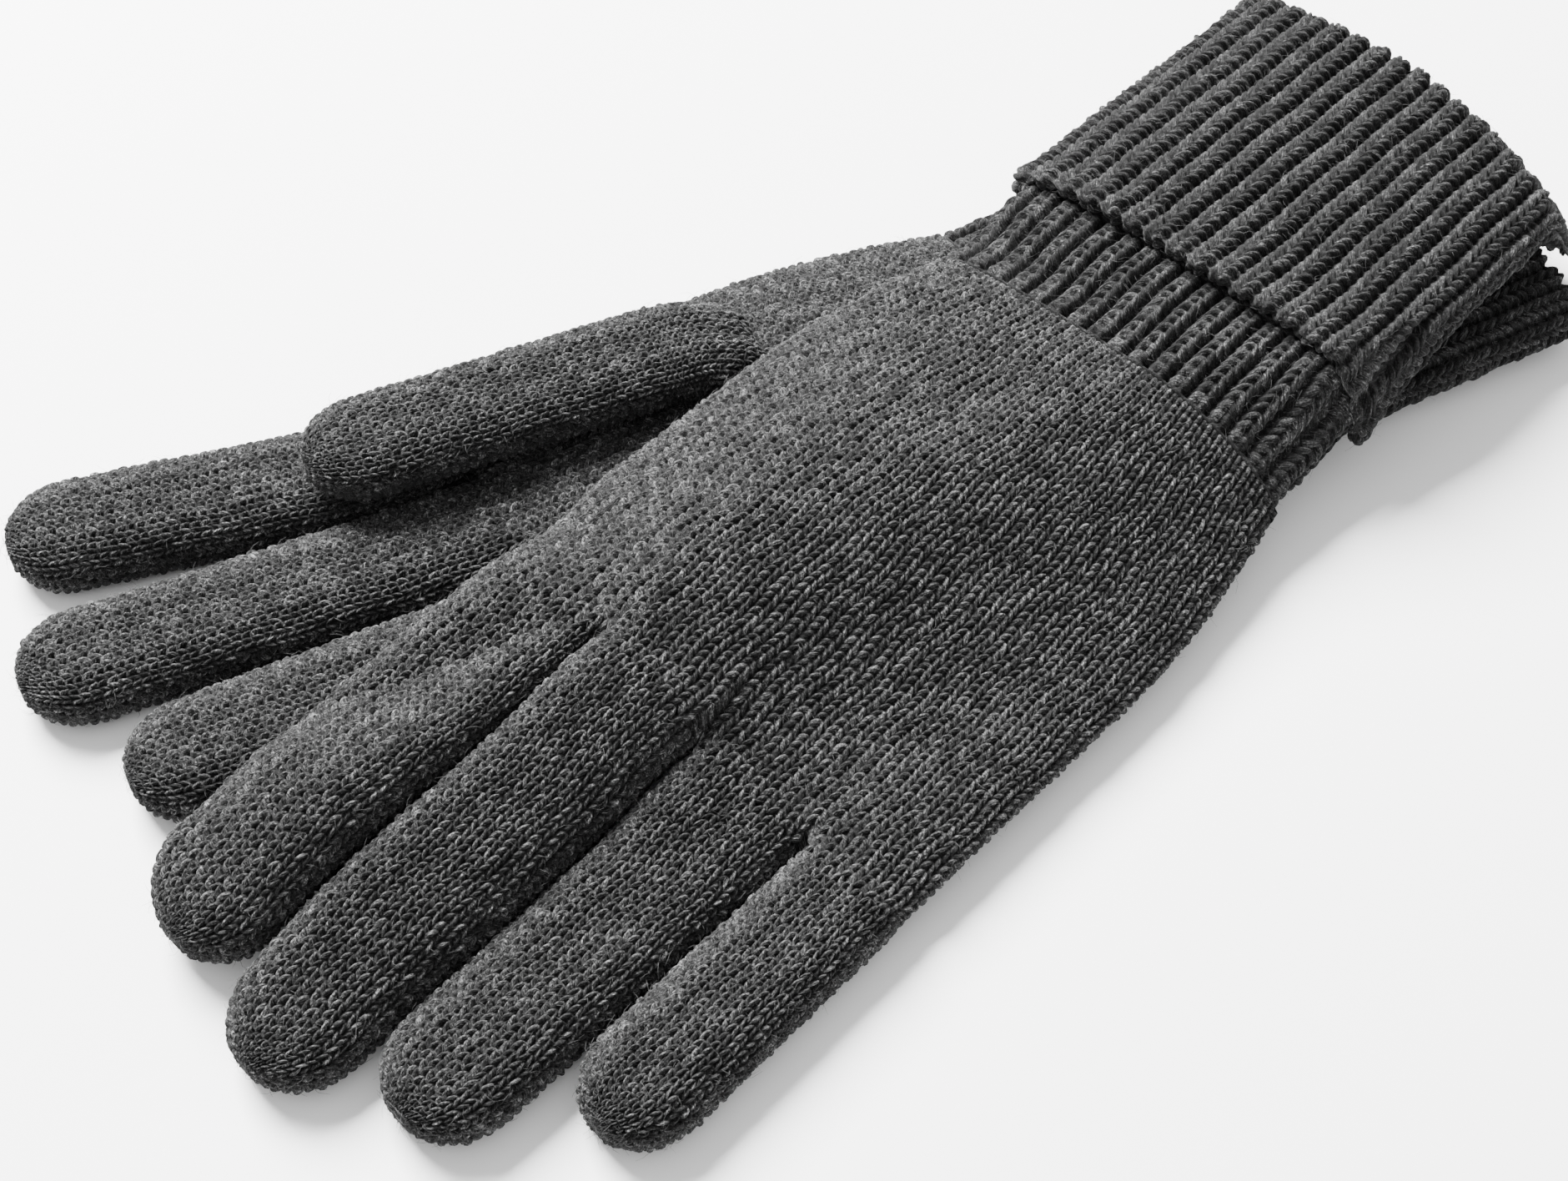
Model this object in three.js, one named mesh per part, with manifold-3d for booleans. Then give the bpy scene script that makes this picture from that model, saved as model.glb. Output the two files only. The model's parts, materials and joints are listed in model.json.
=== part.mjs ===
// A pair of knitted wool gloves laid together palm to palm: the right glove lies on its back on the
// table, and the left glove lies on it, back up and turned a little, so that it drapes off its side.
// Millimetres, +Z up. The origin is under the middle of the right palm, on the table.
// Fingers point along +X and the thumbs are on the -Y side.
import * as THREE from "three";
import { mergeVertices } from "three/addons/utils/BufferGeometryUtils.js";
import Module from "manifold-3d";

const wasm = await Module();
wasm.setup();

// One glove lies along u, from the front edge of its cuff (u = 0) to its fingertips. v runs across it,
// towards the index finger, and z is up from the surface that it lies on.
const PLY = 2; // thickness of the knitted fabric
const GAP = 0.6; // left between neighbouring sections
const CUFF = { length: 67, width: 83, height: 18, plyGap: 2.6 };
const INNER_CUFF = {
  width: CUFF.width - 2 * (PLY + CUFF.plyGap),
  height: CUFF.height - 2 * (PLY + GAP),
  lift: PLY + GAP,
};
const CUFF_STATIONS = 5;
const FOLD = { narrower: 4, lower: 3 }; // how much the lip of the fold is rounded off
const EDGE = { length: 3, setBack: 0.8, narrower: 0.5, lower: 0.4 };
const WRIST = { length: 23, width: 75, height: 13, liftAtCuff: 1.25, liftAtMiddle: 0.25 };
const HAND = { length: 105, width: 87.2, height: 13.5 };
const HAND_GROWTH = [
  { past: 0, wider: 1, height: WRIST.height },
  { past: 10, wider: 4.5, height: HAND.height },
  { past: 24, wider: 9, height: HAND.height },
]; // the heel of the hand widens from the wrist
const HAND_STRAIGHT = [39, 54, 68, 84, 95]; // stations past the start of the hand
const FINGER_HEIGHT = 13;
const TIP_ROUND = 11; // length over which a finger rounds off
const TIP_CLOSURE = 4; // length of the drawn-in courses that close a finger
const TIP_HEIGHT = 0.25; // part of its height that a finger keeps at its very tip
const CLOSURE_RING = 0.45; // where the ring of a closure is, as a part of its length
const FINGER_STATIONS = [0, 0.2, 0.4, 0.7, 1]; // along the straight part of a finger
const THUMB_BENDS = [90, 68, 45, 22, 0]; // degrees, from the thumb hole over the elbow
const THUMB_STATIONS = [0.5, 1];
const HOLE_SEGMENTS = 16;
const FINGERS = {
  index: { width: 22, length: 76, across: 32.6 },
  middle: { width: 22, length: 82, across: 10 },
  ring: { width: 22, length: 74, across: -12.6 },
  little: { width: 19.4, length: 56, across: -33.9 },
};
const FAN_LENGTH = 26; // a finger that leans aside bends over this length at its base
const THUMB = { width: 21, base: 20, ply: 1.6 };

// The right thumb lies over its own index finger. The left one is folded under its palm, pressed flat.
const GLOVES = {
  right: {
    x: -74.4,
    y: 12.6,
    heading: -9.6,
    fan: { index: 11.8, middle: 6.6, ring: 1.6, little: -3 },
    thumb: { u: 90, across: 22.6, length: 64, lean: 4, height: 12, above: 1.2 },
    drapes: false,
    segments: { hand: 22, finger: 10 },
  },
  left: {
    x: -75.3,
    y: 21,
    heading: 9.3,
    fan: { index: 0.6, middle: 0, ring: 0, little: -0.6 },
    thumb: { u: 84, across: 14, length: 54, lean: 0, height: 8.8, above: 0.5 },
    drapes: true,
    segments: { hand: 32, finger: 12 },
  },
};

// How the left glove lies: this far above the table over the right glove, its cuff and the left thumb.
const LAID = { glove: 14.6, cuff: 19, thumb: 24.2 };
const DRAPE = {
  inside: 1,
  outside: 32,
  cuffInside: -4,
  cuffOutside: 20,
  thumbInside: -3,
  thumbOutside: 20,
};

const SQUARENESS = 2.6; // exponent of the superellipse that a section follows
const FLATTENING = 1.12; // how far a section is pressed flat at its top and bottom

const KNIT_COLOURS = { hand: "#3b3b3d", rib: "#363638", edge: "#333335" };

const radians = (degrees) => (degrees * Math.PI) / 180;

function knitMaterial(colour) {
  return new THREE.MeshStandardMaterial({ color: colour, roughness: 0.95, metalness: 0 });
}

// The place in the part's frame of a point on a glove.
function placeOnTable(glove, u, v) {
  const turn = radians(glove.heading);
  return new THREE.Vector2(
    glove.x + u * Math.cos(turn) + v * Math.sin(turn),
    glove.y + u * Math.sin(turn) - v * Math.cos(turn),
  );
}

// The same the other way round: where a point of the table lies on a glove.
function onGlove(glove, point) {
  const turn = radians(glove.heading);
  const dx = point.x - glove.x;
  const dy = point.y - glove.y;
  return new THREE.Vector2(
    dx * Math.cos(turn) + dy * Math.sin(turn),
    dx * Math.sin(turn) - dy * Math.cos(turn),
  );
}

// A finger's centre line: an arc that turns by its fan angle, then straight.
function fingerPath(glove, name, along) {
  const fan = radians(glove.fan[name]);
  const start = WRIST.length + HAND.length + GAP;
  const finger = FINGERS[name];
  const bend = Math.min(along, FAN_LENGTH) / FAN_LENGTH;
  const turn = fan * bend;
  const radius = Math.abs(fan) > 1e-6 ? FAN_LENGTH / fan : 0;
  const arcU = radius ? radius * Math.sin(turn) : Math.min(along, FAN_LENGTH);
  const arcV = radius ? radius * (1 - Math.cos(turn)) : 0;
  const rest = Math.max(along - FAN_LENGTH, 0);
  return {
    u: start + arcU + rest * Math.cos(turn),
    v: finger.across + arcV + rest * Math.sin(turn),
    turn,
  };
}

// Distance from a point to a box of the glove (negative inside), and to a finger's rounded outline.
function distanceToBox(p, u0, u1, halfWidth) {
  const du = Math.max(u0 - p.x, p.x - u1);
  const dv = Math.abs(p.y) - halfWidth;
  return Math.hypot(Math.max(du, 0), Math.max(dv, 0)) + Math.min(Math.max(du, dv), 0);
}

function distanceToFinger(p, glove, name) {
  const radius = FINGERS[name].width / 2;
  const a = fingerPath(glove, name, 0);
  const b = fingerPath(glove, name, FINGERS[name].length - radius);
  const length2 = (b.u - a.u) ** 2 + (b.v - a.v) ** 2;
  const t = ((p.x - a.u) * (b.u - a.u) + (p.y - a.v) * (b.v - a.v)) / length2;
  const k = THREE.MathUtils.clamp(t, 0, 1);
  return Math.hypot(p.x - a.u - k * (b.u - a.u), p.y - a.v - k * (b.v - a.v)) - radius;
}

// 1 on a shape, and down to 0 this far outside it.
const fallOff = (distance, inside, outside) =>
  1 - THREE.MathUtils.smoothstep(distance, -inside, outside);

// Height above the table at which the left glove lies. Its stiff cuff lies level, and past the wrist
// the hand drapes over the right glove and over its own thumb.
function laidHeight(point) {
  const lower = onGlove(GLOVES.right, point);
  const upper = onGlove(GLOVES.left, point);
  const toHand = distanceToBox(lower, -CUFF.length, WRIST.length + HAND.length, HAND.width / 2);
  const toFingers = Object.keys(FINGERS).map((name) => distanceToFinger(lower, GLOVES.right, name));
  const toCuff = distanceToBox(lower, -CUFF.length, 0, CUFF.width / 2);
  const thumb = GLOVES.left.thumb;
  const beside = new THREE.Vector2(upper.x, upper.y - thumb.across);
  const back = thumb.u - THUMB.base;
  const toThumb = distanceToBox(beside, back, thumb.u + thumb.length, THUMB.width / 2);
  const draped =
    LAID.glove * fallOff(Math.min(toHand, ...toFingers), DRAPE.inside, DRAPE.outside) +
    (LAID.cuff - LAID.glove) * fallOff(toCuff, DRAPE.cuffInside, DRAPE.cuffOutside) +
    (LAID.thumb - LAID.glove) * fallOff(toThumb, DRAPE.thumbInside, DRAPE.thumbOutside);
  return THREE.MathUtils.lerp(LAID.cuff, draped, THREE.MathUtils.smoothstep(upper.x, 0, WRIST.length));
}

// A point of a glove in the part's frame, lifted by what the glove lies on.
function layDown(glove, u, v, z) {
  const point = placeOnTable(glove, u, v);
  return new THREE.Vector3(point.x, point.y, z + (glove.drapes ? laidHeight(point) : 0));
}

// A section of a flattened tube: a superellipse, pressed flat where it lies. `inset` goes inwards.
function section(angle, width, height, inset) {
  const beside = Math.cos(angle);
  const rise = Math.max(1 - Math.abs(beside) ** SQUARENESS, 0) ** (1 / SQUARENESS);
  const half = height / 2 - inset;
  const puffed = half * FLATTENING * rise * Math.sign(Math.sin(angle));
  return {
    across: (width / 2 - inset) * beside,
    up: height / 2 + THREE.MathUtils.clamp(puffed, -half, half),
  };
}

// Turns the faces of a closed geometry outwards.
function facesOutwards(geometry) {
  const at = geometry.getAttribute("position");
  const index = geometry.index.array;
  const corner = (i) => new THREE.Vector3().fromBufferAttribute(at, index[i]);
  let volume = 0;
  for (let i = 0; i < index.length; i += 3) {
    volume += corner(i).dot(corner(i + 1).cross(corner(i + 2)));
  }
  if (volume < 0) {
    for (let i = 0; i < index.length; i += 3) {
      [index[i + 1], index[i + 2]] = [index[i + 2], index[i + 1]];
    }
  }
  return geometry;
}

// Shared vertices only, so that the surface is closed.
function closedSurface(geometry) {
  geometry.deleteAttribute("normal");
  geometry.deleteAttribute("uv");
  const merged = facesOutwards(mergeVertices(geometry, 1e-3));
  merged.computeVertexNormals();
  return merged;
}

// A turned profile of (layer, station) whose points are moved by pointAt(station, angle, layer).
function turnedAndShaped(profile, segments, pointAt) {
  const geometry = new THREE.LatheGeometry(profile, segments);
  const at = geometry.getAttribute("position");
  for (let i = 0; i < at.count; i += 1) {
    const layer = Math.round(Math.hypot(at.getX(i), at.getZ(i)));
    const angle = Math.atan2(at.getX(i), at.getZ(i));
    const point = pointAt(Math.round(at.getY(i)), angle, layer);
    at.setXYZ(i, point.x, point.y, point.z);
  }
  return closedSurface(geometry);
}

// An open tube with a wall: layer 2 is its outside and layer 1 its inside.
function openTube(stationCount, segments, pointAt) {
  const profile = [];
  for (let i = 0; i < stationCount; i += 1) profile.push(new THREE.Vector2(2, i));
  for (let i = stationCount - 1; i >= 0; i -= 1) profile.push(new THREE.Vector2(1, i));
  profile.push(new THREE.Vector2(2, 0));
  return turnedAndShaped(profile, segments, pointAt);
}

// A solid cap: a flat back, rings, and a pole.
function closedCap(stationCount, segments, pointAt) {
  const profile = [new THREE.Vector2(0, 0)];
  for (let i = 0; i < stationCount - 1; i += 1) profile.push(new THREE.Vector2(2, i));
  profile.push(new THREE.Vector2(0, stationCount - 1));
  return turnedAndShaped(profile, segments, pointAt);
}

// A straight tube along the glove through stations of {u, width, height, wall, lift}.
function gloveTube(glove, stations) {
  return openTube(stations.length, glove.segments.hand, (i, angle, layer) => {
    const { u, width, height, wall = PLY, lift = 0 } = stations[i];
    const { across, up } = section(angle, width, height, layer === 1 ? wall : 0);
    return layDown(glove, u, across, up + lift);
  });
}

// Stations at equal steps from u0 to u1, all of one section.
function spread(u0, u1, shape) {
  return Array.from({ length: CUFF_STATIONS }, (_, i) => ({
    ...shape,
    u: u0 + ((u1 - u0) * i) / (CUFF_STATIONS - 1),
  }));
}

// How much of its width and height a finger keeps near its tip.
function tipScale(along, length) {
  const into = Math.max(along - (length - TIP_ROUND), 0) / TIP_ROUND;
  return Math.sqrt(Math.max(1 - into * into, 0));
}

// The height that is left there; the pole of a cap (layer 0) is at the middle.
function tipHeight(scale, layer) {
  return layer === 0 ? 0 : TIP_HEIGHT + (1 - TIP_HEIGHT) * scale;
}

function fingerPoint(glove, name, along, angle, layer) {
  const { width, length } = FINGERS[name];
  const scale = tipScale(along, length);
  const inset = layer === 1 ? PLY : 0;
  const { across, up } = section(angle, width, FINGER_HEIGHT, inset);
  const path = fingerPath(glove, name, along);
  const kept = layer === 0 ? 0 : scale;
  const v = across * kept;
  const z = FINGER_HEIGHT / 2 + (up - FINGER_HEIGHT / 2) * tipHeight(kept, layer);
  return layDown(glove, path.u - v * Math.sin(path.turn), path.v + v * Math.cos(path.turn), z);
}

function fingerTube(glove, name) {
  const end = FINGERS[name].length - TIP_CLOSURE - GAP / 2;
  const straight = end + TIP_CLOSURE - TIP_ROUND;
  const stations = FINGER_STATIONS.map((part) => part * straight);
  stations.push((straight + end) / 2, end);
  return openTube(stations.length, glove.segments.finger, (i, angle, layer) =>
    fingerPoint(glove, name, stations[i], angle, layer),
  );
}

function fingerClosure(glove, name) {
  const { length } = FINGERS[name];
  const stations = [length - TIP_CLOSURE, length - TIP_CLOSURE * CLOSURE_RING, length];
  return closedCap(stations.length, glove.segments.finger, (i, angle, layer) =>
    fingerPoint(glove, name, stations[i], angle, layer),
  );
}

// The outside of the thumb's elbow is an ellipse: how far it is from the inside corner.
function elbowReach(bend, back, up) {
  return 1 / Math.hypot(Math.sin(radians(bend)) / back, Math.cos(radians(bend)) / up);
}

// The thumb rises out of a hole in the palm and bends over to lie along it. A station is either
// {bend} degrees, with 90 at the hole, or {along} the straight part.
function thumbPoint(glove, station, angle, layer) {
  const { u, across: centre, length, lean, height, above } = glove.thumb;
  const bend = station.bend ?? 0;
  const along = station.along ?? 0;
  const depth = elbowReach(bend, above + THUMB.base, above + height) - above;
  const scale = layer === 0 ? 0 : tipScale(along, length);
  const { across, up } = section(angle, THUMB.width, depth, layer === 1 ? THUMB.ply : 0);
  const middle = above + depth / 2;
  const out = middle + (up - depth / 2) * tipHeight(scale, layer);
  const forward = along - out * Math.sin(radians(bend));
  const rise = out * Math.cos(radians(bend));
  const side = across * scale;
  const turn = radians(lean);
  const handU = u + forward * Math.cos(turn) - side * Math.sin(turn);
  const handV = centre + forward * Math.sin(turn) + side * Math.cos(turn);
  const point = placeOnTable(glove, handU, handV);
  const palm = glove.drapes ? LAID.thumb - GAP / 2 - rise : HAND.height + GAP / 2 + rise;
  return new THREE.Vector3(point.x, point.y, palm);
}

function thumbTube(glove) {
  const end = glove.thumb.length - TIP_CLOSURE - GAP / 2;
  const straight = end + TIP_CLOSURE - TIP_ROUND;
  const runs = THUMB_STATIONS.map((part) => part * straight);
  runs.push((straight + end) / 2, end);
  const bends = THUMB_BENDS.map((bend) => ({ bend }));
  const stations = [...bends, ...runs.map((along) => ({ along }))];
  return openTube(stations.length, glove.segments.finger, (i, angle, layer) =>
    thumbPoint(glove, stations[i], angle, layer),
  );
}

function thumbClosure(glove) {
  const { length } = glove.thumb;
  const stations = [length - TIP_CLOSURE, length - TIP_CLOSURE * CLOSURE_RING, length];
  return closedCap(stations.length, glove.segments.finger, (i, angle, layer) =>
    thumbPoint(glove, { along: stations[i] }, angle, layer),
  );
}

function toSolid(geometry) {
  const merged = closedSurface(geometry);
  return new wasm.Manifold(
    new wasm.Mesh({
      numProp: 3,
      vertProperties: new Float32Array(merged.getAttribute("position").array),
      triVerts: new Uint32Array(merged.index.array),
    }),
  );
}

function toGeometry(solid) {
  const mesh = solid.getMesh();
  const geometry = new THREE.BufferGeometry();
  geometry.setAttribute("position", new THREE.BufferAttribute(mesh.vertProperties, 3));
  geometry.setIndex(new THREE.BufferAttribute(mesh.triVerts, 1));
  geometry.computeVertexNormals();
  return geometry;
}

// The hole that the thumb is knitted onto, cut through one face of the hand.
function thumbHole(glove) {
  const { u, across, above, lean } = glove.thumb;
  const reach = THUMB.base / 2;
  const cutter = new THREE.CylinderGeometry(1, 1, HAND.height, HOLE_SEGMENTS);
  cutter.rotateX(Math.PI / 2);
  cutter.scale(reach - THUMB.ply, THUMB.width / 2 - THUMB.ply, 1);
  cutter.rotateZ(radians(glove.heading - lean));
  const back = u - (above + reach) * Math.cos(radians(lean));
  const side = across - (above + reach) * Math.sin(radians(lean));
  const point = placeOnTable(glove, back, side);
  cutter.translate(point.x, point.y, glove.drapes ? LAID.thumb : HAND.height);
  return cutter;
}

function handTube(glove) {
  const start = WRIST.length + GAP / 2;
  const end = WRIST.length + HAND.length;
  const { width, height } = HAND;
  const heel = HAND_GROWTH.map(({ past, wider, height: heelHeight }) => ({
    u: start + past,
    width: WRIST.width + wider,
    height: heelHeight,
  }));
  const palm = HAND_STRAIGHT.map((past) => ({ u: start + past, width, height }));
  const roots = { u: end, width, height: FINGER_HEIGHT };
  const tube = gloveTube(glove, [...heel, ...palm, roots]);
  return toGeometry(toSolid(tube).subtract(toSolid(thumbHole(glove))));
}

function wristRib(glove) {
  const { width, height } = WRIST;
  return gloveTube(glove, [
    { u: GAP / 2, width, height, lift: WRIST.liftAtCuff },
    { u: WRIST.length / 2, width, height, lift: WRIST.liftAtMiddle },
    { u: WRIST.length - GAP / 2, width, height },
  ]);
}

// The ply of the cuff that goes on from the wrist, inside the part that is turned back.
function cuffInner(glove) {
  return gloveTube(glove, spread(-CUFF.length + PLY + GAP, -GAP / 2, INNER_CUFF));
}

// The ply that is turned back outside, from the fold to the edge band.
function cuffTurnback(glove) {
  const { width, height } = CUFF;
  return gloveTube(glove, spread(-CUFF.length + PLY + GAP, -EDGE.length - GAP / 2, { width, height }));
}

// The fold itself, which closes the two plies at the open end of the glove.
function cuffFold(glove) {
  const { width, height } = CUFF;
  const wall = PLY + GAP + PLY;
  const lip = {
    width: width - FOLD.narrower,
    height: height - FOLD.lower,
    lift: FOLD.lower / 2,
    wall: wall - FOLD.lower,
  };
  return gloveTube(glove, [
    { ...lip, u: -CUFF.length },
    { u: -CUFF.length + PLY, width, height, wall },
  ]);
}

// The cast-off edge, a firm band of plain knitting at the front of the turned-back ply.
function cuffEdge(glove) {
  const { width, height } = CUFF;
  const front = {
    width: width - EDGE.narrower,
    height: height - EDGE.lower,
    lift: EDGE.lower / 2,
  };
  return gloveTube(glove, [
    { u: -EDGE.length, width, height },
    { ...front, u: -EDGE.setBack },
  ]);
}

function addMesh(group, name, geometry, material) {
  const mesh = new THREE.Mesh(geometry, material);
  mesh.name = name;
  group.add(mesh);
}

function buildGlove(side) {
  const glove = GLOVES[side];
  const group = new THREE.Group();
  const plain = knitMaterial(KNIT_COLOURS.hand);
  const rib = knitMaterial(KNIT_COLOURS.rib);
  const edge = knitMaterial(KNIT_COLOURS.edge);
  addMesh(group, `${side}_hand`, handTube(glove), plain);
  addMesh(group, `${side}_thumb`, thumbTube(glove), plain);
  addMesh(group, `${side}_thumb_closure`, thumbClosure(glove), plain);
  for (const name of Object.keys(FINGERS)) {
    addMesh(group, `${side}_${name}_finger`, fingerTube(glove, name), plain);
    addMesh(group, `${side}_${name}_closure`, fingerClosure(glove, name), plain);
  }
  addMesh(group, `${side}_wrist_rib`, wristRib(glove), rib);
  addMesh(group, `${side}_cuff_inner`, cuffInner(glove), rib);
  addMesh(group, `${side}_cuff_turnback`, cuffTurnback(glove), rib);
  addMesh(group, `${side}_cuff_fold`, cuffFold(glove), rib);
  addMesh(group, `${side}_cuff_edge`, cuffEdge(glove), edge);
  return group;
}

const gloves = new THREE.Group();
for (const side of Object.keys(GLOVES)) gloves.add(buildGlove(side));

export default gloves;
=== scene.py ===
import bpy
import json
import math
import numpy as np
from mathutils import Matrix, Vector

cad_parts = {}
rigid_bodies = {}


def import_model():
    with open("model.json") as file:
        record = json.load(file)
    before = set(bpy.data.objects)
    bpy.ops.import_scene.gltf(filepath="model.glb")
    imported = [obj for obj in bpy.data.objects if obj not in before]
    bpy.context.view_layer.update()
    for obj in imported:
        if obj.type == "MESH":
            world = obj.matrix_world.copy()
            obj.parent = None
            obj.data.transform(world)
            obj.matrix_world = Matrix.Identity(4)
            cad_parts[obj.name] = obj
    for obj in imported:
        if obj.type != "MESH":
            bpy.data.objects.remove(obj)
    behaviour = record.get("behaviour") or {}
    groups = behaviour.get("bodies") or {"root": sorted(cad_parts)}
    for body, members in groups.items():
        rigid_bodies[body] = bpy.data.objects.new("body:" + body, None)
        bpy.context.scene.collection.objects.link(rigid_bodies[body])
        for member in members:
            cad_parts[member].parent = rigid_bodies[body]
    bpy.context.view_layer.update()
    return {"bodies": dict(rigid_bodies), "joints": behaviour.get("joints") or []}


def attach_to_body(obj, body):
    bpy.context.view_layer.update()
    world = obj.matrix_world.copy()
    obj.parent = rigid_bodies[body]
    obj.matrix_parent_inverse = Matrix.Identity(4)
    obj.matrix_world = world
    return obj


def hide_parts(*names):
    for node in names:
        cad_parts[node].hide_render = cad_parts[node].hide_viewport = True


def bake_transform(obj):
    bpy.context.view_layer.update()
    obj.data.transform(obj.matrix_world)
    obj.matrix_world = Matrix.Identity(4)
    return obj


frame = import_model()
joints = {joint["name"]: joint for joint in frame["joints"]}

# Lengths are in millimetres until a mesh is made. On each glove u runs from the front edge of the cuff
# towards the fingertips, v runs across towards the index finger, and z is up. A wale is a column of
# stitches along the glove, and a course is a row of them across it.
hand = {
    "start": 23.3,
    "end": 128.3,
    "width": 87.2,
    "height": 11.6,
    "rootHeight": 10.4,
    "heelEnd": 36,
    "thinFrom": 116,
    "stepFrom": 108,
    "rootsOver": 5,
    "levelling": 0.2,
}
handGrowth = {"u": [23.3, 33.3, 47.3, 62.3], "width": [76, 79.5, 84, 87.2]}
wrist = {
    "start": 0.3,
    "end": 22.9,
    "width": 75.0,
    "height": [7.4, 9.4, 11.0],
    "lift": [3.3, 1.2, 0],
    "courses": 10,
}
cuff = {
    "length": 72.0,
    "width": 79.4,
    "height": 14.0,
    "front": -1.6,
    "foldRadius": 2.4,
    "edgeRadius": 1.35,
}
innerCuff = {
    "start": -67.5,
    "end": -0.3,
    "width": 71.6,
    "height": [8.0, 8.0],
    "lift": [3.0, 3.0],
    "courses": 26,
}
fingers = {
    "index": {"width": 22.0, "length": 77.0, "across": 32.6},
    "middle": {"width": 22.0, "length": 82.5, "across": 10.0},
    "ring": {"width": 22.0, "length": 72.0, "across": -12.6},
    "little": {"width": 19.4, "length": 53.5, "across": -33.9},
}
fingerBuild = {"height": 10.4, "fanLength": 26.0, "tip": 11.0, "blunt": 0.62}
thumbBuild = {"width": 21.0, "base": 20.0, "elbowCourses": 14}
sectionForm = {"squareness": 2.6, "topFlattening": 1.05, "underFlattening": 1.12}


# The cuff slides along the glove, so its axis gives the glove's heading. A finger's joint gives where
# one known point (u, v) of the glove lies.
def placeGlove(slide, joint, u, v):
    axis = joints[slide]["axis"]
    heading = math.atan2(-axis[1], -axis[0])
    x, y, _ = (1000 * value for value in joints[joint]["pos_m"])
    return {
        "heading": heading,
        "x": x - u * math.cos(heading) - v * math.sin(heading),
        "y": y - u * math.sin(heading) + v * math.cos(heading),
    }


gloves = {
    "right": {
        **placeGlove("right_cuff_unroll", "right_middle_spread", 128.4, 21.0),
        "fan": {"index": 11.2, "middle": 4.9, "ring": 1.6, "little": -3.0},
        "thumb": {"u": 90, "across": 25.0, "length": 64, "lean": 4, "height": 9.6, "above": 0.3},
        "palm": 11.2,
        "drapes": False,
    },
    "left": {
        **placeGlove("left_cuff_unroll", "left_middle_bend", 128.6, 10.0),
        "fan": {"index": 0.6, "middle": 0, "ring": 0, "little": -0.6},
        "thumb": {"u": 84, "across": 14, "length": 48, "lean": 0, "height": 2.8, "above": 0.2},
        "palm": 14.6,
        "drapes": True,
    },
}
laid = {"glove": 12.0, "cuff": 14.4, "thumb": 14.8}
drape = {
    "glove": (-22, 24),
    "cuff": (-4, 12),
    "overCuff": (4, 20),
    "thumb": (-6, 22),
    "bridge": 7.0,
    "stiffSide": 10,
    "stiffFront": 20,
    "softFrom": 23,
    "spreadFrom": 21.3,
    "spread": 0.09,
}


def smoothstep(value, low, high):
    t = np.clip((value - low) / (high - low), 0, 1)
    return t * t * (3 - 2 * t)


def mix(a, b, share):
    return a + (b - a) * share


def fromGlove(glove, u, v):
    cos, sin = math.cos(glove["heading"]), math.sin(glove["heading"])
    return glove["x"] + u * cos + v * sin, glove["y"] + u * sin - v * cos


def toGlove(glove, x, y):
    cos, sin = math.cos(glove["heading"]), math.sin(glove["heading"])
    dx, dy = x - glove["x"], y - glove["y"]
    return dx * cos + dy * sin, dx * sin - dy * cos


# A finger's centre line: an arc that turns by its fan angle over its first stretch, then straight.
def fingerLine(glove, name, along):
    fan = math.radians(glove["fan"][name])
    bent = np.clip(along, 0, fingerBuild["fanLength"])
    turn = fan * bent / fingerBuild["fanLength"]
    arcU, arcV = bent, bent * 0
    if abs(fan) > 1e-6:
        radius = fingerBuild["fanLength"] / fan
        arcU, arcV = radius * np.sin(turn), radius * (1 - np.cos(turn))
    rest = along - bent
    return (
        hand["end"] + arcU + rest * np.cos(turn),
        fingers[name]["across"] + arcV + rest * np.sin(turn),
        turn,
    )


# Distance to a box of the glove (negative inside), and to the rounded outline of a finger.
def distanceToBox(u, v, u0, u1, halfWidth):
    du = np.maximum(u0 - u, u - u1)
    dv = np.abs(v) - halfWidth
    return np.hypot(np.maximum(du, 0), np.maximum(dv, 0)) + np.minimum(np.maximum(du, dv), 0)


def distanceToFinger(u, v, glove, name):
    radius = fingers[name]["width"] / 2
    u0, v0, _ = fingerLine(glove, name, 0.0)
    u1, v1, _ = fingerLine(glove, name, fingers[name]["length"] - radius)
    share = ((u - u0) * (u1 - u0) + (v - v0) * (v1 - v0)) / ((u1 - u0) ** 2 + (v1 - v0) ** 2)
    share = np.clip(share, 0, 1)
    return np.hypot(u - mix(u0, u1, share), v - mix(v0, v1, share)) - radius


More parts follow.
